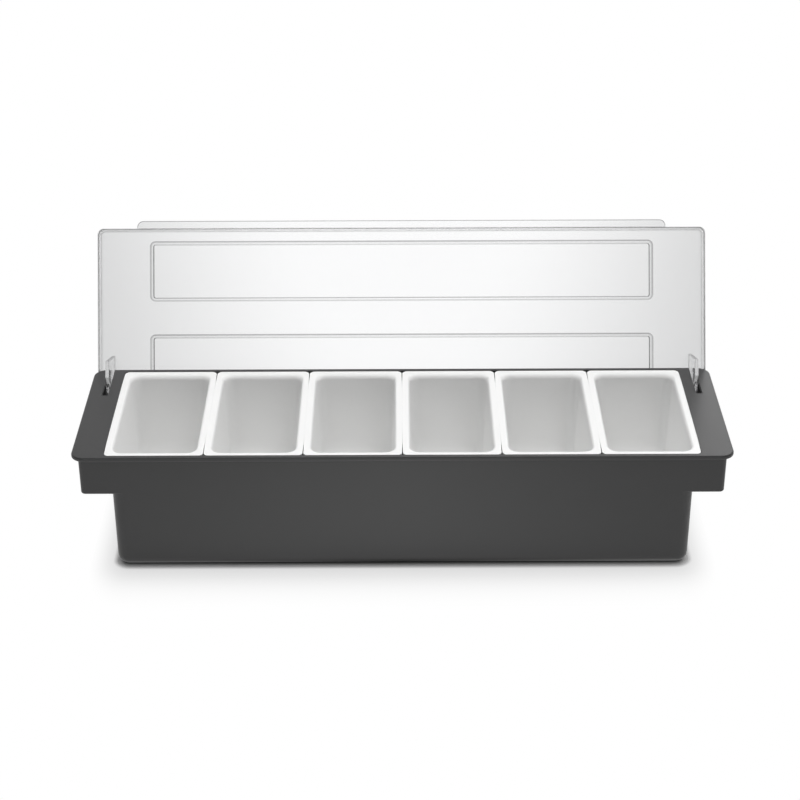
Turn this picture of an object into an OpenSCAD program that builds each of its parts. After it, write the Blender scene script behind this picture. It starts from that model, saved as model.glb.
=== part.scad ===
// Six-insert condiment caddy: a moulded base, six lift-out inserts and one clear hinged lid.
// Millimetres. X runs along the row of inserts, Y points to the back, Z up from the table.
// The base stands on z = 0 with its centre at the origin. The lid is drawn open, against its stop.

/* [Base] */
// Length of the rim along the row of inserts
rim_len = 500; // [450:1:520]
// Depth of the rim, front to back
rim_depth = 150; // [148:1:160]
// Height of the rim above the table
rim_height = 99; // [95:1:115]
// Thickness of the rim and of the decks at both ends
rim_edge = 3.4; // [3:0.1:5]
// Plan radius of the rim's corners
rim_corner = 10.5; // [6.5:0.5:12]
// Rounding along the rim's upper and lower edges
rim_round = 1.2; // [0.6:0.1:1.4]
// How far the rim stands out past the walls below it
rim_overhang = 5; // [4:0.5:5.5]
// Wall thickness of the base
base_wall = 2; // [1.8:0.1:2.4]
// Thickness of the base's floor
base_floor = 2.5; // [2:0.1:4]
// Draft of the base's walls, in millimetres per millimetre of height
base_draft = 0.01; // [0.01:0.01:0.02]
// Height of the end wings below the rim's top
wing_drop = 34.3; // [28:0.1:45]
// Length of one wing past the deep body
wing_reach = 23.1; // [22.5:0.1:30]
// Plan radius of the wings' corners
wing_corner = 4; // [3:0.5:6]
// Rounding along the wings' lower edge
wing_round = 1.6; // [0.6:0.1:2]
// Plan radius of the deep body's corners
body_corner = 9.8; // [9.4:0.1:12]
// Fillet between the deep body's walls and its underside
body_fillet = 8.5; // [4:0.1:8.5]

/* [Inserts] */
// Length of the deck between the inserts and each end of the rim
deck_len = 24.7; // [24.7:0.1:26]
// Gap between neighbouring insert rims
insert_gap = 0.3; // [0.2:0.1:1]
// Width of the base's border in front of and behind the inserts
border = 4.3; // [3.5:0.1:4.5]
// Clearance between an insert's rim and the recess it lies in
insert_fit = 0.2; // [0.15:0.05:0.4]
// Depth of an insert's rim top below the deck
insert_sink = 0.3; // [0:0.1:1]
// Thickness of an insert's rim
insert_rim = 1.5; // [1.2:0.1:2]
// Width of an insert's rim, out to in, with its inner rounding
insert_band = 6.3; // [6:0.1:8]
// Rounding from the rim into the opening
insert_lip_round = 2.5; // [1.5:0.1:3]
// Wall thickness of an insert
insert_wall = 1.5; // [1.2:0.1:1.6]
// Depth of an insert from its rim to its floor
insert_depth = 75; // [60:1:80]
// Draft of an insert's walls, in degrees
insert_draft = 2; // [1:0.1:2]
// Plan radius of an insert's opening
insert_corner = 8.8; // [8.8:0.1:12]
// Plan radius of an insert's rim
insert_rim_corner = 4; // [2:0.1:5]
// Fillet between an insert's side walls and its floor
insert_fillet = 6; // [4:0.1:6]
// Fillet between an insert's end walls and its floor
insert_scoop = 16; // [8:1:30]
// Play between the end inserts' walls and the base's end walls
insert_play = 0.5; // [0.3:0.1:0.8]

/* [Lid] */
// Angle from closed to the open stop, in degrees
lid_open = 117.3; // [100:0.1:117.4]
// Margin of the lid inside the rim at each end
lid_margin_end = 1.4; // [1:0.1:3]
// Margin of the lid inside the rim's front edge
lid_margin_front = 0.6; // [0.4:0.1:2]
// Margin of the lid inside the rim's back edge
lid_margin_back = 0.6; // [0.4:0.1:2]
// Thickness of the lid's panel and skirt
lid_wall = 2; // [1.6:0.1:2.2]
// Depth of the skirt below the panel
lid_skirt = 9.8; // [9.8:0.1:12]
// Gap left between the closed skirt and the deck
lid_rest_gap = 0.2; // [0.1:0.05:0.4]
// Plan radius of the lid's corners
lid_corner = 5; // [4:0.5:8]
// Rounding along the lid's upper edge
lid_round = 1; // [0.5:0.1:1.4]
// Distance from the lid's ends to the finger lip's ends
lip_inset = 32.6; // [20:0.1:100]
// Reach of the finger lip past the front skirt
lip_reach = 6; // [4:0.5:12]
// Plan radius of the lip's corners
lip_corner = 5; // [2:0.5:5.5]
// Distance from the lid's ends to the raised panels' ends
panel_inset = 42.3; // [30:0.1:60]
// Distance from the lid's front edge to the first raised panel
panel_front = 10.4; // [8:0.1:14]
// Strip between the two raised panels
panel_between = 28.3; // [26:0.1:32]
// Distance from the second raised panel to the lid's back edge
panel_back = 13.5; // [8:0.1:14]
// Height of the raised panels' step
panel_step = 2; // [1:0.1:2.5]
// Width of the sloped band around each raised panel
panel_slope = 2; // [1:0.1:3.5]
// Plan radius of the raised panels' corners
panel_corner = 4; // [3.8:0.1:8]

/* [Hinge] */
// Distance of the hinge axis in front of the rim's back edge
hinge_back = 16.5; // [16:0.1:17.5]
// Depth of the hinge axis below the deck's top
hinge_drop = 11.4; // [11:0.1:14]
// Diameter of the crossbar the lid turns on
bar_d = 3.2; // [2.6:0.1:3.6]
// Radial clearance between the hook's bore and the crossbar
bar_clear = 0.1; // [0.05:0.05:0.1]
// Distance of each hook's middle from the end of the rim
hook_inset = 12.6; // [12:0.1:14]
// Thickness of the hook plates
hook_thick = 3; // [2:0.1:3.4]
// Length of the hook below the axis when the lid is closed
hook_tail = 13.3; // [10:0.1:14]
// Reach of the hook in front of the axis at its lower end
hook_front = 24; // [20:0.1:25]
// Reach of the hook in front of the axis at the panel
hook_root = 29; // [26:0.1:30]
// Wall behind the hook's bore
hook_heel = 2.5; // [2:0.1:3]
// Rounding of the hook below its heel
heel_round = 9.3; // [8:0.1:10]
// Distance from the axis to where the hook's lower edge turns up to its heel
tongue_turn = 8; // [7.5:0.1:8.5]
// Width of the clip's throat, narrower than the crossbar
throat = 2.6; // [2.2:0.1:3]
// Width of the clip's mouth
mouth = 3.4; // [3:0.1:4]
// Slope of the clip's channel from the hook's own length, in degrees
throat_lean = 34; // [20:1:40]
// Gap between the hook and the slot on the side facing the inserts
slot_in = 1.7; // [0.5:0.1:2]
// Gap between the hook and the slot on the outer side
slot_out = 0.4; // [0.3:0.1:0.8]
// Clearance in front of the hook's swing
slot_front = 2.4; // [1:0.1:4]
// Clearance between the open hook and the bottom of the slot in the back wall
slot_stop = 0.4; // [0.3:0.1:1]
// Thickness of the brackets that carry the crossbar
bracket = 2; // [1.6:0.1:3]
// Wall around the crossbar in the brackets
bracket_wall = 3; // [2:0.1:4]

/* [Hidden] */
$fn = 64;
cut = 1;                  // overrun of every cut past the face it opens
inserts = 6;
arc_steps = 6;            // straight steps in a moulded rounding
edge_break = 0.5;         // small chamfer on the insert rims' edges
heel_sweep = 70;          // angle the rounding below a hook's heel turns through
swing_gap = 0.5;          // clearance between the turning skirt and the rim

rim_z = rim_height - rim_edge;
wing_z = rim_height - wing_drop;
wall_x = rim_len / 2 - rim_overhang;
wall_y = rim_depth / 2 - rim_overhang;
body_x = wall_x - wing_reach;
insert_pitch = (rim_len - 2 * deck_len) / inserts;

seat_z = rim_height - insert_sink - insert_rim;
recess_y = rim_depth / 2 - border;
recess_x = (inserts * insert_pitch - insert_gap) / 2 + insert_fit;
end_room_x = recess_x - insert_fit - insert_band + insert_wall + insert_play;
end_room_y = recess_y - insert_fit - insert_band + insert_wall + insert_play;
insert_w = insert_pitch - insert_gap;
insert_l = 2 * (recess_y - insert_fit);
insert_top = seat_z + insert_rim;
insert_slope = tan(insert_draft);
// the floor's fillet, no larger than the drafted corner has room for
insert_bend = min(insert_fillet, insert_corner - (insert_depth + insert_wall) * insert_slope);

axis_y = rim_depth / 2 - hinge_back;
axis_z = rim_height - hinge_drop;
lid_x = rim_len / 2 - lid_margin_end;
lid_front = -rim_depth / 2 + lid_margin_front;
lid_back = rim_depth / 2 - lid_margin_back;
skirt_z = rim_height + lid_rest_gap;
lid_inner = skirt_z + lid_skirt;
lid_top = lid_inner + lid_wall;
lip_len = 2 * (lid_x - lip_inset);
panel_len = 2 * (lid_x - panel_inset);
panel_depth = (lid_back - lid_front - panel_front - panel_between - panel_back) / 2;
hook_x = rim_len / 2 - hook_inset;
panel_rise = lid_inner - axis_z;
rim_reach = norm([hinge_back, hinge_drop]);
bore_r = bar_d / 2 + bar_clear;
hook_heel_y = bore_r + hook_heel;
slot_lo = hook_x - hook_thick / 2 - slot_in;
slot_hi = hook_x + hook_thick / 2 + slot_out;
slot_front_y = axis_y - norm([hook_front, hook_tail]) - slot_front;
// height at which the open hook's heel leaves the back wall, less the stop's clearance
notch_z = axis_z + ((wall_y - axis_y) * cos(lid_open) - hook_heel_y) / sin(lid_open) - slot_stop;

// arc from angle a0 to a1 about c, as points
function arc(c, r, a0, a1) =
    [for (i = [0:arc_steps]) let (a = a0 + (a1 - a0) * i / arc_steps) c + r * [cos(a), sin(a)]];

// to the nearest micron, so that straight and turned stretches of one wall meet exactly
function snap(v) = round(v * 1000) / 1000;

function flip(pts) = [for (i = [len(pts) - 1:-1:0]) [-pts[i].x, pts[i].y]];
function widen(pts, d) = [for (p = pts) [snap(p.x) + snap(d), snap(p.y)]];

// Solid whose wall section runs round a rectangle with rounded corners. cx and cy place the
// corner centres; outline lists [distance from the centre line, height] from bottom to top.
module swept(cx, cy, outline) {
    turned = widen(outline, 0);
    along_x = widen(outline, cy);
    along_y = widen(outline, cx);
    rotate([90, 0, 90]) translate([0, 0, -snap(cx)]) linear_extrude(2 * snap(cx))
        polygon(concat(along_x, flip(along_x)));
    rotate([90, 0, 0]) translate([0, 0, -snap(cy)]) linear_extrude(2 * snap(cy))
        polygon(concat(along_y, flip(along_y)));
    for (i = [0:3])
        translate([(i == 0 || i == 3 ? 1 : -1) * snap(cx), (i < 2 ? 1 : -1) * snap(cy), 0])
            rotate([0, 0, 90 * i]) rotate_extrude(angle = 90)
                polygon(concat([[0, turned[0].y]], turned, [[0, turned[len(turned) - 1].y]]));
}

module plate(cx, cy, r, z0, z1) {
    swept(cx, cy, [[r, z0], [r, z1]]);
}

// ---------------------------------------------------------------- base

// how far a drafted wall has drawn in from its top, at height z
function drawn(z) = (rim_z + cut - z) * base_draft;

module body_outside() {
    low = body_corner - drawn(body_fillet);
    swept(body_x - body_corner, wall_y - body_corner,
        concat(arc([low - body_fillet, body_fillet], body_fillet, -90, 0),
            [[body_corner, rim_z + cut]]));
}

module body_inside() {
    r = body_corner - base_wall;
    f = body_fillet - base_wall;
    low = r - drawn(base_floor + f);
    swept(body_x - body_corner, wall_y - body_corner,
        concat(arc([low - f, base_floor + f], f, -90, 0),
            [[r, rim_z + cut], [r, rim_height + cut]]));
}

// pocket that sets back the end walls above the wings' lower edge, for the end inserts
module end_room() {
    r = insert_corner + insert_wall + insert_play;
    plate(end_room_x - r, end_room_y - r, r, wing_z + 2 * base_wall, rim_height + cut);
}

module wing_outside() {
    low = wing_corner - drawn(wing_z + wing_round);
    swept(wall_x - wing_corner, wall_y - wing_corner,
        concat(arc([low - wing_round, wing_z + wing_round], wing_round, -90, 0),
            [[wing_corner, rim_z + cut]]));
}

module rim_outside() {
    swept(rim_len / 2 - rim_corner, rim_depth / 2 - rim_corner,
        concat(arc([rim_corner - rim_round, rim_z + rim_round], rim_round, -90, 0),
            arc([rim_corner - rim_round, rim_height - rim_round], rim_round, 0, 90)));
}

// open underneath, so a hand can lift the base by its wings
module wing_hollow() {
    in = end_room_x + base_wall;
    out = wall_x - base_wall - drawn(wing_z);
    r = wing_corner - base_wall;
    translate([(in + out) / 2, 0, 0])
        plate((out - in) / 2 - r, wall_y - base_wall - drawn(wing_z) - r, r, wing_z - cut, rim_z);
}

module hinge_slot() {
    translate([slot_lo, slot_front_y, rim_z - cut])
        cube([slot_hi - slot_lo, rim_depth / 2 + cut - slot_front_y, rim_edge + 2 * cut]);
    translate([slot_lo, wall_y - base_wall - 2 * cut, notch_z])
        cube([slot_hi - slot_lo, rim_overhang + base_wall + 3 * cut, rim_height + cut - notch_z]);
}

module hinge_bracket(x0, x1) {
    r = bar_d / 2 + bracket_wall;
    translate([x0, axis_y, axis_z]) rotate([90, 0, 90]) cylinder(r = r, h = x1 - x0);
    translate([x0, axis_y - r, axis_z])
        cube([x1 - x0, 2 * r, rim_z + cut - axis_z]);
}

module hinge_mount() {
    hinge_bracket(slot_lo - bracket, slot_lo);
    hinge_bracket(slot_hi, wall_x - base_wall / 2);
    translate([slot_lo - bracket / 2, axis_y, axis_z]) rotate([90, 0, 90])
        cylinder(d = bar_d, h = slot_hi - slot_lo + bracket);
}

module base() {
    color([0.27, 0.27, 0.28]) {
        difference() {
            union() {
                body_outside();
                wing_outside();
                rim_outside();
            }
            body_inside();
            end_room();
            plate(recess_x - insert_rim_corner, recess_y - insert_rim_corner,
                insert_rim_corner, seat_z, rim_height + cut);
            for (s = [0, 1]) mirror([s, 0, 0]) {
                wing_hollow();
                hinge_slot();
            }
        }
        for (s = [0, 1]) mirror([s, 0, 0]) hinge_mount();
    }
}

// ---------------------------------------------------------------- inserts

// outline of an insert's wall, t outside its inner face
function tub_outline(t, floor_z, top) =
    let (r = insert_corner + t, f = insert_bend + t)
    let (low = r - (insert_top - floor_z) * insert_slope)
    concat(arc([low - f, floor_z + f], f, -90, 0), top);

// end-to-end section of an insert, t outside its inner face, run the insert's full width
module scoop(t, floor_z) {
    f = insert_scoop + t;
    y = insert_l / 2 - insert_band + t - (insert_top - floor_z) * insert_slope;
    side = concat(arc([y - f, floor_z + f], f, -90, 0),
        [[insert_l, insert_top], [insert_l, insert_top + 2 * cut]]);
    rotate([90, 0, 90]) translate([0, 0, -insert_w]) linear_extrude(2 * insert_w)
        polygon(concat(side, flip(side)));
}

module insert(i) {
    cx = insert_w / 2 - insert_band - insert_corner;
    cy = insert_l / 2 - insert_band - insert_corner;
    inner_z = insert_top - insert_depth;
    lip = insert_lip_round;
    color([0.93, 0.93, 0.92])
        translate([(i - (inserts - 1) / 2) * insert_pitch, 0, 0]) difference() {
            union() {
                swept(insert_w / 2 - insert_rim_corner, insert_l / 2 - insert_rim_corner,
                    [[insert_rim_corner, seat_z], [insert_rim_corner, insert_top - edge_break],
                     [insert_rim_corner - edge_break, insert_top]]);
                intersection() {
                    swept(cx, cy, tub_outline(insert_wall, inner_z - insert_wall,
                        [[insert_corner + insert_wall, insert_top - insert_rim / 2]]));
                    scoop(insert_wall, inner_z - insert_wall);
                }
            }
            intersection() {
                swept(cx, cy, tub_outline(0, inner_z,
                    concat(arc([insert_corner + lip, insert_top - lip], lip, 180, 90),
                        [[insert_corner + lip, insert_top + cut]])));
                scoop(0, inner_z);
            }
        }
}

// ---------------------------------------------------------------- lid

module lid_shell() {
    cx = lid_x - lid_corner;
    cy = (lid_back - lid_front) / 2 - lid_corner;
    mid = (lid_back + lid_front) / 2;
    difference() {
        translate([0, mid, 0]) swept(cx, cy,
            concat([[lid_corner, skirt_z]],
                arc([lid_corner - lid_round, lid_top - lid_round], lid_round, 0, 90)));
        translate([0, mid, 0])
            plate(cx, cy, lid_corner - lid_wall, skirt_z - cut, lid_inner);
        // the back is open, and the skirt clears the rim as the lid turns
        translate([-lid_x - cut, axis_y, skirt_z - cut])
            cube([2 * (lid_x + cut), hinge_back + cut, lid_inner - skirt_z + cut]);
        translate([-lid_x - cut, axis_y, axis_z]) rotate([90, 0, 90])
            cylinder(r = rim_reach + swing_gap, h = 2 * (lid_x + cut));
    }
}

// step of a raised panel above the plane z, reaching down past that plane
module raised_panel(z) {
    swept(panel_len / 2 - panel_corner, panel_depth / 2 - panel_corner,
        [[panel_corner, z - lid_wall / 2], [panel_corner, z],
         [panel_corner - panel_slope, z + panel_step]]);
}

module finger_lip() {
    difference() {
        translate([0, lid_front, 0])
            plate(lip_len / 2 - lip_corner, lip_reach - lip_corner, lip_corner,
                skirt_z, skirt_z + lid_wall);
        translate([-lip_len, lid_front + lid_wall / 2, skirt_z - cut])
            cube([2 * lip_len, lip_reach + lip_corner, lid_wall + 2 * cut]);
    }
}

// side view of a hook, with the hinge axis at the origin and the closed panel above
module hook_outline() {
    polygon(concat(
        [[hook_heel_y, panel_rise + lid_wall / 2], [-hook_root, panel_rise + lid_wall / 2],
         [-hook_front, -hook_tail], [-tongue_turn, -hook_tail]],
        arc([hook_heel_y - heel_round, 0], heel_round, -heel_sweep, 0)));
}

module hook() {
    translate([hook_x - hook_thick / 2, axis_y, axis_z]) rotate([90, 0, 90])
        difference() {
            linear_extrude(hook_thick) hook_outline();
            translate([0, 0, -cut]) cylinder(r = bore_r, h = hook_thick + 2 * cut);
            rotate([0, 0, -throat_lean]) translate([0, 0, -cut]) linear_extrude(hook_thick + 2 * cut)
                polygon([[throat / 2, 0], [-throat / 2, 0], [-mouth / 2, -hook_tail],
                    [-mouth / 2, -2 * hook_tail], [mouth / 2, -2 * hook_tail], [mouth / 2, -hook_tail]]);
        }
}

module lid_closed() {
    first = lid_front + panel_front + panel_depth / 2;
    pitch = panel_depth + panel_between;
    difference() {
        union() {
            lid_shell();
            for (k = [0, 1]) translate([0, first + k * pitch, 0]) raised_panel(lid_top);
        }
        for (k = [0, 1]) translate([0, first + k * pitch, 0]) raised_panel(lid_inner);
    }
    finger_lip();
    for (s = [0, 1]) mirror([s, 0, 0]) hook();
}

module lid() {
    color([0.85, 0.87, 0.88, 0.4])
        translate([0, axis_y, axis_z]) rotate([-lid_open, 0, 0]) translate([0, -axis_y, -axis_z])
            lid_closed();
}

base();
insert(0);  // insert_1
insert(1);  // insert_2
insert(2);  // insert_3
insert(3);  // insert_4
insert(4);  // insert_5
insert(5);  // insert_6
lid();
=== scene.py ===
"""A condiment caddy: a moulded base, six lift-out inserts and one clear lid that swings back on two hooks."""

import math

import bmesh
import bpy
from mathutils import Matrix, Vector


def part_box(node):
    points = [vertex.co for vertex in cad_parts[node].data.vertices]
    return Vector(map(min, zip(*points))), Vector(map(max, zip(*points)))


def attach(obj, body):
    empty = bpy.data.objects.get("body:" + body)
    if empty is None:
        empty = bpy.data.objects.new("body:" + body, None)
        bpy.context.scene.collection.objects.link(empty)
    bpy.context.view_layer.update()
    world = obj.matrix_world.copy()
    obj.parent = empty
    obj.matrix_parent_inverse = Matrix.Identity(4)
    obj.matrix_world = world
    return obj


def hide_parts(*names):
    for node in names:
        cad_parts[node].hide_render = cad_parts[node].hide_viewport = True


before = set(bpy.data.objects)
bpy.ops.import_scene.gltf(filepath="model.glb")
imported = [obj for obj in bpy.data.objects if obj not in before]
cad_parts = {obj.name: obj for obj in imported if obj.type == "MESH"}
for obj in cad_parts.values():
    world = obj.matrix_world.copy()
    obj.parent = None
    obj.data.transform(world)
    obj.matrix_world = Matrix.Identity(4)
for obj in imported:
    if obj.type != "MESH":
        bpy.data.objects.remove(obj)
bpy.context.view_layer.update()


# ---------------------------------------------------------------- base
# The base is one deep charcoal moulding in ABS, with grip wings at its ends and crossbars for the lid
# under its decks. It has a fine spark-eroded grain, and the mould leaves every sharp edge slightly rounded.

base_edge = 0.00025        # the radius of its sharp edges, in metres as every size here
base_sharp = 32            # an edge is sharp where its faces meet at more than this, in degrees


class Socket:
    """An output of a shader node. Arithmetic on it adds Math nodes."""

    def __init__(self, tree, output):
        self.tree = tree
        self.output = output

    @classmethod
    def new(cls, tree, kind, inputs, output=0, **settings):
        """Adds a node of that kind, makes its settings, then fills its sockets with values or links."""
        node = tree.nodes.new("ShaderNode" + kind)
        for name, value in settings.items():
            setattr(node, name, value)
        for name, value in inputs.items():
            if isinstance(value, Socket):
                tree.links.new(value.output, node.inputs[name])
            else:
                node.inputs[name].default_value = value
        return cls(tree, node.outputs[output] if len(node.outputs) else None)

    def maths(self, operation, a, b):
        return Socket.new(self.tree, "Math", {0: a, 1: b}, operation=operation)

    def size(self):
        return self.maths("ABSOLUTE", self, 0)

    def __add__(self, other):
        return self.maths("ADD", self, other)

    def __radd__(self, other):
        return self.maths("ADD", other, self)

    def __sub__(self, other):
        return self.maths("SUBTRACT", self, other)

    def __rsub__(self, other):
        return self.maths("SUBTRACT", other, self)

    def __mul__(self, other):
        return self.maths("MULTIPLY", self, other)

    def __rmul__(self, other):
        return self.maths("MULTIPLY", other, self)


def new_material(name):
    """A material with no nodes yet, and its node tree."""
    material = bpy.data.materials.new(name)
    material.use_nodes = True
    material.node_tree.nodes.clear()
    return material, material.node_tree


def output_of(tree, shader):
    Socket.new(tree, "OutputMaterial", {"Surface": shader})


def on_object(tree):
    """The place on the object, in metres."""
    return Socket.new(tree, "TexCoord", {}, output="Object")


def mixed(tree, factor, a, b):
    """A colour from a to b."""
    node = tree.nodes.new("ShaderNodeMix")
    node.data_type = "RGBA"
    tree.links.new(factor.output, node.inputs[0])
    node.inputs[6].default_value = (*a, 1)
    node.inputs[7].default_value = (*b, 1)
    return Socket(tree, node.outputs[2])


def noise(tree, place, scale, detail=2.0):
    """Soft random patches, about that many to a metre."""
    return Socket.new(tree, "TexNoise", {"Vector": place, "Scale": scale, "Detail": detail})


def charcoal_abs():
    """Dark grey, with a fine grain, and a little cloudy in its colour and gloss."""
    material, tree = new_material("charcoal_abs")
    place = on_object(tree)
    cloud = noise(tree, place, 22.0, 3.0)
    grain = noise(tree, place, 1700.0, 2.0)
    colour = mixed(tree, cloud, (0.035, 0.035, 0.0355), (0.042, 0.042, 0.0425))
    bump = Socket.new(tree, "Bump", {"Strength": 0.35, "Distance": 0.00006, "Height": grain})
    shader = Socket.new(tree, "BsdfPrincipled", {
        "Base Color": colour, "Roughness": cloud * 0.07 + 0.26, "IOR": 1.6, "Normal": bump})
    output_of(tree, shader)
    return material


def even_normals(piece):
    """Keeps the flat faces flat in their shading."""
    normals = piece.modifiers.new("normals", "WEIGHTED_NORMAL")
    normals.keep_sharp = False


def round_edges(piece, radius, sharp_angle):
    """Rounds the edges whose faces meet at more than that angle, in degrees."""
    rounding = piece.modifiers.new("rounding", "BEVEL")
    rounding.limit_method = "ANGLE"
    rounding.angle_limit = math.radians(sharp_angle)
    rounding.width = radius
    rounding.segments = 3
    even_normals(piece)


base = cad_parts["base"]
base.data.materials.clear()
base.data.materials.append(charcoal_abs())
weld = base.modifiers.new("weld", "WELD")
weld.merge_threshold = 1e-6
round_edges(base, base_edge, base_sharp)


# ---------------------------------------------------------------- inserts
# Six thin-walled white tubs, injection moulded in polypropylene, hang in the base by their rims. Their
# walls have draft and their ends curve into the floor. Two rims meet in the middle, and part at the ends.

rim_band = 0.0060          # the width of the rim, out to in, with its inner rounding
rim_edge = 0.00015         # the radius of its sharp edges
rim_sharp = 50             # an edge is sharp where its faces meet at more than this, in degrees
rim_corner = 0.004
corner_steps = 8
side_cuts = 7
rim_reach = 0.00014        # how far the middle of a rim's long side stands out, to meet its neighbour
rim_setback = 0.0005       # how far its ends stand back from there
rim_bow = 7                # the higher, the closer to its ends the side turns back
side_lip = 0.0020          # the rounding of the rim into the side walls
end_lip = 0.0042           # its rounding into the end walls
end_overhang = 0.0012      # how far the rim stands in over the end walls
lip_turns = (18, 36, 54, 72, 90)       # the steps of that rounding, in degrees
opening_corner = 0.0066
wall = 0.0015
depth = 0.075
draft = math.tan(math.radians(2))
side_fillet = 0.006        # between the side walls and the floor
end_scoop = 0.016          # between the end walls and the floor
# the heights above the floor at which the walls turn, closer together where they curve into it
wall_rings = (0.055, 0.036, 0.016, 0.0125, 0.0095, 0.007, 0.005, 0.0034, 0.0021, 0.0011, 0.0004, 0)


def white_polypropylene():
    """White, waxy, with a faint grain."""
    material, tree = new_material("white_polypropylene")
    place = on_object(tree)
    cloud = noise(tree, place, 30.0, 3.0)
    colour = mixed(tree, cloud, (0.905, 0.905, 0.90), (0.92, 0.92, 0.915))
    bump = Socket.new(tree, "Bump", {"Strength": 0.1, "Distance": 0.00005, "Height": noise(tree, place, 900.0)})
    shader = Socket.new(tree, "BsdfPrincipled", {
        "Base Color": colour, "Roughness": cloud * 0.08 + 0.32, "IOR": 1.49, "Normal": bump})
    output_of(tree, shader)
    return material


def rounded_loop(mesh, half_x, half_y, corner, height):
    """The edges of a rectangle with rounded corners, its sides split evenly."""
    corners = [mesh.verts.new((x * half_x, y * half_y, height)) for x, y in ((1, -1), (1, 1), (-1, 1), (-1, -1))]
    face = mesh.faces.new(corners)
    bmesh.ops.bevel(mesh, geom=corners, offset=corner, affect="VERTICES", segments=corner_steps,
                    profile=0.5, material=-1)
    if not face.is_valid:
        face = mesh.faces[:][-1]
    longest_in_corner = corner * 0.8
    sides = [edge for edge in face.edges if edge.calc_length() > longest_in_corner]
    bmesh.ops.subdivide_edges(mesh, edges=sides, cuts=side_cuts)
    edges = face.edges[:]
    bmesh.ops.delete(mesh, geom=[face], context="FACES_ONLY")
    return edges


def corners_of(edges):
    return list({corner for edge in edges for corner in edge.verts})


def extruded(mesh, edges):
    """Extrudes an edge loop, and returns the new loop."""
    made = bmesh.ops.extrude_edge_only(mesh, edges=edges)["geom"]
    return [part for part in made if isinstance(part, bmesh.types.BMEdge)]


def inset_at(height, radius):
    """How far a fillet of that radius reaches in, at a height above the floor."""
    return radius - math.sqrt(radius ** 2 - max(radius - height, 0) ** 2)


def insert_mesh(name, low, high):
    """The rim's top and the inner skin of the tub that fills the box between two corners."""
    mesh = bmesh.new()
    half_x, half_y, top = (high.x - low.x) / 2, (high.y - low.y) / 2, high.z
    outer = rounded_loop(mesh, half_x, half_y, rim_corner, top)
    for corner in corners_of(outer):
        if abs(corner.co.x) > half_x - rim_corner / 2:
            out = rim_reach - rim_setback * abs(corner.co.y / half_y) ** rim_bow
            corner.co.x += out * math.copysign(1, corner.co.x)
    open_x, open_y = half_x - rim_band, half_y - rim_band
    now_x, now_y = open_x + side_lip, open_y - end_overhang + end_lip
    loop = rounded_loop(mesh, now_x, now_y, opening_corner + side_lip, top)
    bmesh.ops.bridge_loops(mesh, edges=outer + loop)
    rings = []
    for turn in lip_turns:
        inward, downward = 1 - math.sin(math.radians(turn)), 1 - math.cos(math.radians(turn))
        rings.append((open_x + side_lip * inward, open_y - end_overhang + end_lip * inward, end_lip * downward))
    for above_floor in wall_rings:
        down = depth - above_floor
        rings.append((open_x - down * draft - inset_at(above_floor, side_fillet),
                      open_y - down * draft - inset_at(above_floor, end_scoop), down))
    for ring_x, ring_y, down in rings:
        loop = extruded(mesh, loop)
        ring = corners_of(loop)
        bmesh.ops.scale(mesh, verts=ring, vec=(ring_x / now_x, ring_y / now_y, 1))
        bmesh.ops.translate(mesh, verts=ring, vec=(0, 0, top - down - ring[0].co.z))
        now_x, now_y = ring_x, ring_y
    bmesh.ops.contextual_create(mesh, geom=loop)
    bmesh.ops.recalc_face_normals(mesh, faces=mesh.faces)
    tub_floor = min(mesh.faces, key=lambda face: face.calc_center_median().z)
    if tub_floor.normal.z < 0:
        bmesh.ops.reverse_faces(mesh, faces=mesh.faces)
    for face in mesh.faces:
        face.smooth = True
    bmesh.ops.translate(mesh, verts=mesh.verts, vec=((low.x + high.x) / 2, (low.y + high.y) / 2, 0))
    data = bpy.data.meshes.new(name)
    mesh.to_mesh(data)
    mesh.free()
    return data


def new_piece(name, data, *materials):
    for material in materials:
        data.materials.append(material)
    piece = bpy.data.objects.new(name, data)
    bpy.context.scene.collection.objects.link(piece)
    return piece


white = white_polypropylene()
for number in range(1, 7):
    node = f"insert_{number}"
    low, high = (Vector(corner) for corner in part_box(node))
    tub = new_piece(f"{node}_tub", insert_mesh(f"{node}_tub", low, high), white)
    skin = tub.modifiers.new("wall", "SOLIDIFY")
    skin.thickness = wall
    skin.offset = -1
    skin.use_even_offset = True
    round_edges(tub, rim_edge, rim_sharp)
    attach(tub, node)
    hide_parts(node)


# ---------------------------------------------------------------- lid
# The lid is one moulding in clear polycarbonate, 2 mm thick, with two raised panels, a shallow skirt,
# a finger lip at its front edge and a hook at each end. Every edge is slightly rounded. Its lip, hooks and panel
# edges carry deep tints of the same plastic: painted shade that stands for the dark lines bent light draws
# there.

hinge = Vector((0, 0.0585, 0.0876))
lid_swing = math.radians(117.3)     # how far back the lid leans at rest
along_lid = Vector((0, -math.cos(lid_swing), math.sin(lid_swing)))
across_lid = Vector((0, math.sin(lid_swing), math.cos(lid_swing)))
lid_top = 0.0234                    # from the hinge, across the lid, to its top
lip_start = 0.1334                  # from the hinge, along the lid, to the finger lip
hook_middle = 0.2374                # from the middle of the lid to the middle of a hook
hook_half = 0.0018                  # half a hook's thickness, with room for its rounding
hook_end = 0.0205                   # from the hinge, across the lid, to where a hook joins it
panel_edge = 0.0007                 # the rounding where a raised panel starts and ends
lid_edge = 0.0005                   # the rounding of the skirt, the lip and the hooks
half_sheet = 0.001
# The edges' materials are deep-tinted copies of the clear one: painted shade for the dark lines that bent light
# draws.
painted_edge_shade, painted_line_shade, painted_end_shade = 1, 2, 3     # the places of its edges' materials, after the clear one


def clear_polycarbonate(name, tint):
    """Clear and smooth, with a tint that the light takes on as it goes through. The deep tints of its edge
    copies are painted shade.
    """
    material, tree = new_material(name)
    cloud = noise(tree, on_object(tree), 12.0, 2.0)
    deeper_tint = [level * 0.985 for level in tint]
    shader = Socket.new(tree, "BsdfPrincipled", {
        "Base Color": mixed(tree, cloud, tint, deeper_tint), "Roughness": cloud * 0.05 + 0.08,
        "IOR": 1.58, "Transmission Weight": 0.97})
    output_of(tree, shader)
    return material


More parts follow.
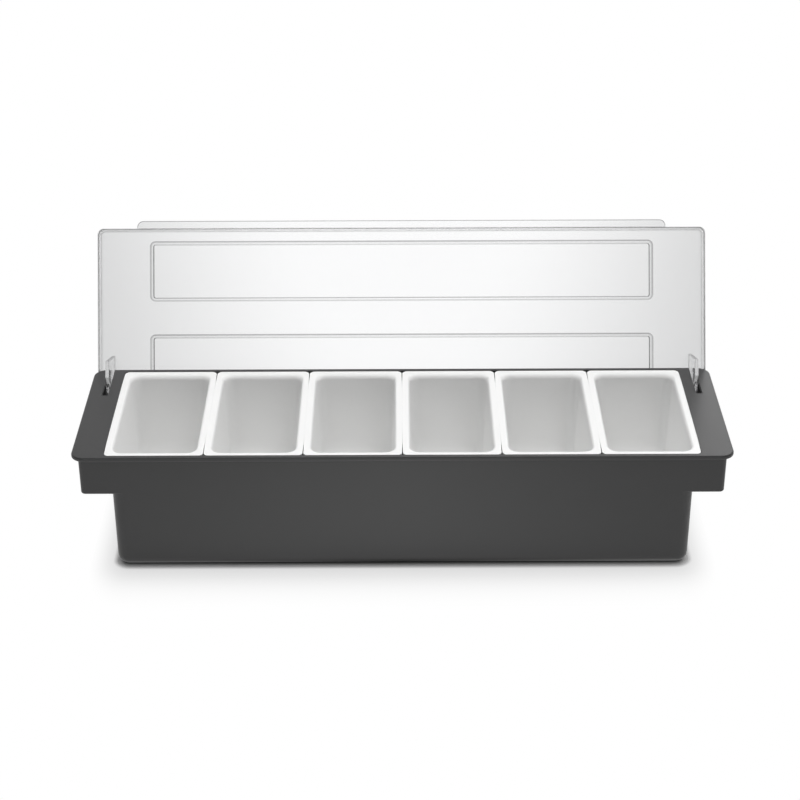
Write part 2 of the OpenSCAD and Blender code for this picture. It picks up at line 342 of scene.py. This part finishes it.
def rounded_edges(mesh, flattest, sharpest, radius, segments):
    """Rounds the edges whose faces meet at an angle between two, in degrees, and returns the new faces."""
    sharp = [line for line in mesh.edges if len(line.link_faces) == 2
             and math.radians(flattest) < line.calc_face_angle() < math.radians(sharpest)]
    return bmesh.ops.bevel(mesh, geom=sharp, offset=radius, affect="EDGES", segments=segments, profile=0.5,
                           material=-1, clamp_overlap=False)["faces"]


lid_mesh = bmesh.new()
lid_mesh.from_mesh(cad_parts["lid"].data)
bmesh.ops.remove_doubles(lid_mesh, verts=lid_mesh.verts, dist=1e-6)
bmesh.ops.dissolve_limit(lid_mesh, angle_limit=math.radians(1), verts=lid_mesh.verts, edges=lid_mesh.edges)
panel_lines = rounded_edges(lid_mesh, 30, 60, panel_edge, 4)
rounded_edges(lid_mesh, 75, 100, lid_edge, 3)
# The finger lip's rounded faces and the hooks' sides take deep-tinted materials, painted shade, chosen by where
# each face lies and which way it faces.
for face in lid_mesh.faces:
    face.smooth = True
    middle = face.calc_center_median() - hinge
    lies_flat = abs(face.normal.dot(across_lid)) >= 0.97
    on_hook = abs(abs(middle.x) - hook_middle) < hook_half and middle.dot(across_lid) < hook_end
    if middle.dot(along_lid) > lip_start and not lies_flat:
        face.material_index = painted_line_shade
    elif on_hook and abs(face.normal.x) < 0.5:
        face.material_index = painted_edge_shade
# The raised panels' rounded edges take one deep tint or another, painted shade, by their height and which way
# they face; their ends take the darkest.
for face in panel_lines:
    if face.is_valid:
        rise = (face.calc_center_median() - hinge).dot(across_lid) - lid_top
        on_end = abs(face.normal.x) > 0.15
        on_front = face.normal.dot(along_lid) * rise > 0
        if rise > half_sheet:
            face.material_index = painted_end_shade if on_end else painted_edge_shade if on_front else painted_line_shade
        elif rise < -half_sheet:
            face.material_index = painted_line_shade if on_front and not on_end else painted_edge_shade
lid_data = bpy.data.meshes.new("lid_shell")
lid_mesh.to_mesh(lid_data)
lid_mesh.free()
# The three edge copies are tinted dark, down to near black: painted shade, not a colour of the plastic.
lid_shell = new_piece("lid_shell", lid_data,
                      clear_polycarbonate("clear_polycarbonate", (0.955, 0.958, 0.962)),
                      clear_polycarbonate("clear_polycarbonate_edge_painted_shade", (0.55, 0.552, 0.555)),
                      clear_polycarbonate("clear_polycarbonate_line_painted_shade", (0.30, 0.302, 0.305)),
                      clear_polycarbonate("clear_polycarbonate_end_painted_shade", (0.03, 0.031, 0.032)))
even_normals(lid_shell)
lid_shell.visible_shadow = False    # so clear a sheet throws next to no shadow
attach(lid_shell, "lid")
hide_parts("lid")


# ---------------------------------------------------------------- table, light and camera
# A white table runs into a white backdrop. Seen through the lid and in gloss, it shows a painted pool of light
# that fades grey to its sides. A broad softbox hangs overhead, a little behind and to the right. Glossy surfaces
# see a dim studio with a long softbox at its back, which lights the right end of the decks.

base_foot = Vector((0.2210, 0.0691, 0))     # half the length and depth of the base where it meets the table
foot_corner = 0.0098
table_size = 12.0
camera_place = Vector((-0.00260, -1.38195, 0.82344))
camera_pitch = math.radians(27.346)
camera_yaw = math.radians(0.038)
camera_roll = math.radians(-0.189)
camera_lens = 89.64


def climb(tree, value, start, end, top=1.0, shape="SMOOTHSTEP"):
    """From 0 to top, as the value goes from start to end."""
    return Socket.new(tree, "MapRange", {"Value": value, "From Min": start, "From Max": end, "To Max": top},
                      interpolation_type=shape)


def either(tree, factor, a, b):
    """A shader from a to b."""
    return Socket.new(tree, "MixShader", {0: factor, 1: a, 2: b})


def ray(tree, kind):
    return Socket.new(tree, "LightPath", {}, output=kind)


def distance_outside(tree, place, stretch):
    """How far a place on the table is from the base's foot, whose corners are round."""
    inner = base_foot - Vector((foot_corner, foot_corner, 0))
    spread = Socket.new(tree, "VectorMath", {0: place}, operation="ABSOLUTE")
    past = Socket.new(tree, "VectorMath", {0: spread, 1: inner}, operation="SUBTRACT")
    outside = Socket.new(tree, "VectorMath", {0: past, 1: (0, 0, 0)}, operation="MAXIMUM")
    weighed = Socket.new(tree, "VectorMath", {0: outside, 1: (stretch, 1, 0)}, operation="MULTIPLY")
    return Socket.new(tree, "VectorMath", {0: weighed}, output="Value", operation="LENGTH") - foot_corner


def white_table():
    """Matt close to the object, where it takes the shadow, and plain white further out. Under the base's foot
    its colour falls to dark grey, a painted contact shadow, and the white glow starts a few millimetres out from
    the foot, which makes the real shadow's edge tighter and darker: painted shade. Seen through the lid and in
    gloss, the table is a painted pool of light, greyer to the sides."""
    material, tree = new_material("white_table")
    place = on_object(tree)
    away = distance_outside(tree, place, 1)
    # The glow is held back right by the foot, so the real shadow shows there, sharpened into a painted contact
    # line.
    by_the_foot = climb(tree, away, 0.0006, 0.0045, 0.6, "LINEAR")
    further_out = climb(tree, distance_outside(tree, place, 2.2), 0.0, 0.07, 0.42)
    # Under the foot the table's colour falls from near white to dark grey: painted contact shadow.
    clear_of_painted_shadow = climb(tree, away, -0.005, 0.0, shape="LINEAR")
    # Where glossy and transmitted rays see it, the table fades to a grey glow to the sides: a painted pool of
    # light, not the lamps'.
    across = Socket.new(tree, "SeparateXYZ", {0: place}, output="X").size()
    behind = Socket.new(tree, "SeparateXYZ", {0: place}, output="Y")
    painted_side_shade = climb(tree, across - behind * 0.2, -0.025, 0.315)
    matt = Socket.new(tree, "BsdfDiffuse", {"Color": (0.8, 0.8, 0.8, 1)})
    pale = Socket.new(tree, "BsdfDiffuse", {"Color": mixed(tree, clear_of_painted_shadow, (0.25, 0.25, 0.25), (0.97, 0.97, 0.97))})
    white_light = Socket.new(tree, "Emission", {"Color": (1, 1, 1, 1), "Strength": 1.0})
    painted_grey_glow = Socket.new(tree, "Emission", {"Color": (0.58, 0.58, 0.58, 1), "Strength": 1.0})
    seen = either(tree, by_the_foot + further_out, pale, white_light)
    seen_through_lid = either(tree, painted_side_shade, seen, painted_grey_glow)
    shown = either(tree, ray(tree, "Is Camera Ray"), seen_through_lid, seen)
    output_of(tree, either(tree, ray(tree, "Is Diffuse Ray"), shown, matt))
    return material


def studio():
    """White where it is seen, a pale ceiling over dim walls where it lights a matt surface, and where it
    shows in gloss a dim room with a grey back and a bright patch high in front."""
    world = bpy.data.worlds.new("studio")
    world.use_nodes = True
    tree = world.node_tree
    tree.nodes.clear()
    direction = Socket.new(tree, "TexCoord", {}, output="Generated")

    def toward(x, y, z):
        return Socket.new(tree, "VectorMath", {0: direction, 1: (x, y, z)}, output="Value",
                          operation="DOT_PRODUCT")

    def glow(strength):
        return Socket.new(tree, "Background", {"Color": (1, 1, 1, 1), "Strength": strength})

    ceiling = climb(tree, toward(0.47, 0.36, 0.81), -0.1, 0.9, shape="LINEAR")
    matt_room = either(tree, ceiling, glow(0.09), glow(0.76))
    glossy_room = either(tree, climb(tree, toward(0, 1, 0), -0.1, 0.6), glow(0.1), glow(0.45))
    front_patch = climb(tree, toward(0, -0.87, 0.49), 0.93, 0.995)
    in_gloss = either(tree, front_patch, glossy_room, glow(1.0))
    elsewhere = either(tree, ray(tree, "Diffuse Depth"), glow(1.0), matt_room)
    Socket.new(tree, "OutputWorld", {"Surface": either(tree, ray(tree, "Is Glossy Ray"), elsewhere, in_gloss)})
    return world


def softbox(name, place, target, size, height, watts, mirrored):
    """A lamp at place that faces target, and shows in gloss if mirrored."""
    lamp = bpy.data.lights.new(name, "AREA")
    lamp.shape = "RECTANGLE"
    lamp.size = size
    lamp.size_y = height
    lamp.energy = watts
    box = bpy.data.objects.new(name, lamp)
    bpy.context.scene.collection.objects.link(box)
    box.location = place
    box.rotation_euler = (Vector(target) - Vector(place)).to_track_quat("-Z", "Y").to_euler()
    box.visible_glossy = mirrored
    box.visible_transmission = False    # the lid stops none of its light, so none comes through a second time


bpy.ops.mesh.primitive_plane_add(size=table_size, location=(0, 0, 0))
table = bpy.context.object
table.name = "table"
table.data.materials.append(white_table())

bpy.context.scene.world = studio()
softbox("overhead", (0.06, 0.18, 1.7), (0, 0, 0.08), 1.3, 0.6, 15.8, False)
softbox("back", (0.35, 1.6, 0.85), (0, 0, 0.1), 1.2, 0.5, 2.45, True)

ahead = Vector((math.sin(camera_yaw) * math.cos(camera_pitch),
                math.cos(camera_yaw) * math.cos(camera_pitch), -math.sin(camera_pitch)))
level = Vector((math.cos(camera_yaw), -math.sin(camera_yaw), 0))
upward = level.cross(ahead)
right = level * math.cos(camera_roll) + upward * math.sin(camera_roll)
up = upward * math.cos(camera_roll) - level * math.sin(camera_roll)
camera = bpy.data.objects.new("camera", bpy.data.cameras.new("camera"))
bpy.context.scene.collection.objects.link(camera)
camera.matrix_world = Matrix.Translation(camera_place) @ Matrix((right, up, -ahead)).transposed().to_4x4()
camera.data.sensor_width = 36
camera.data.lens = camera_lens
bpy.context.scene.camera = camera
bpy.context.scene.view_settings.view_transform = "Standard"
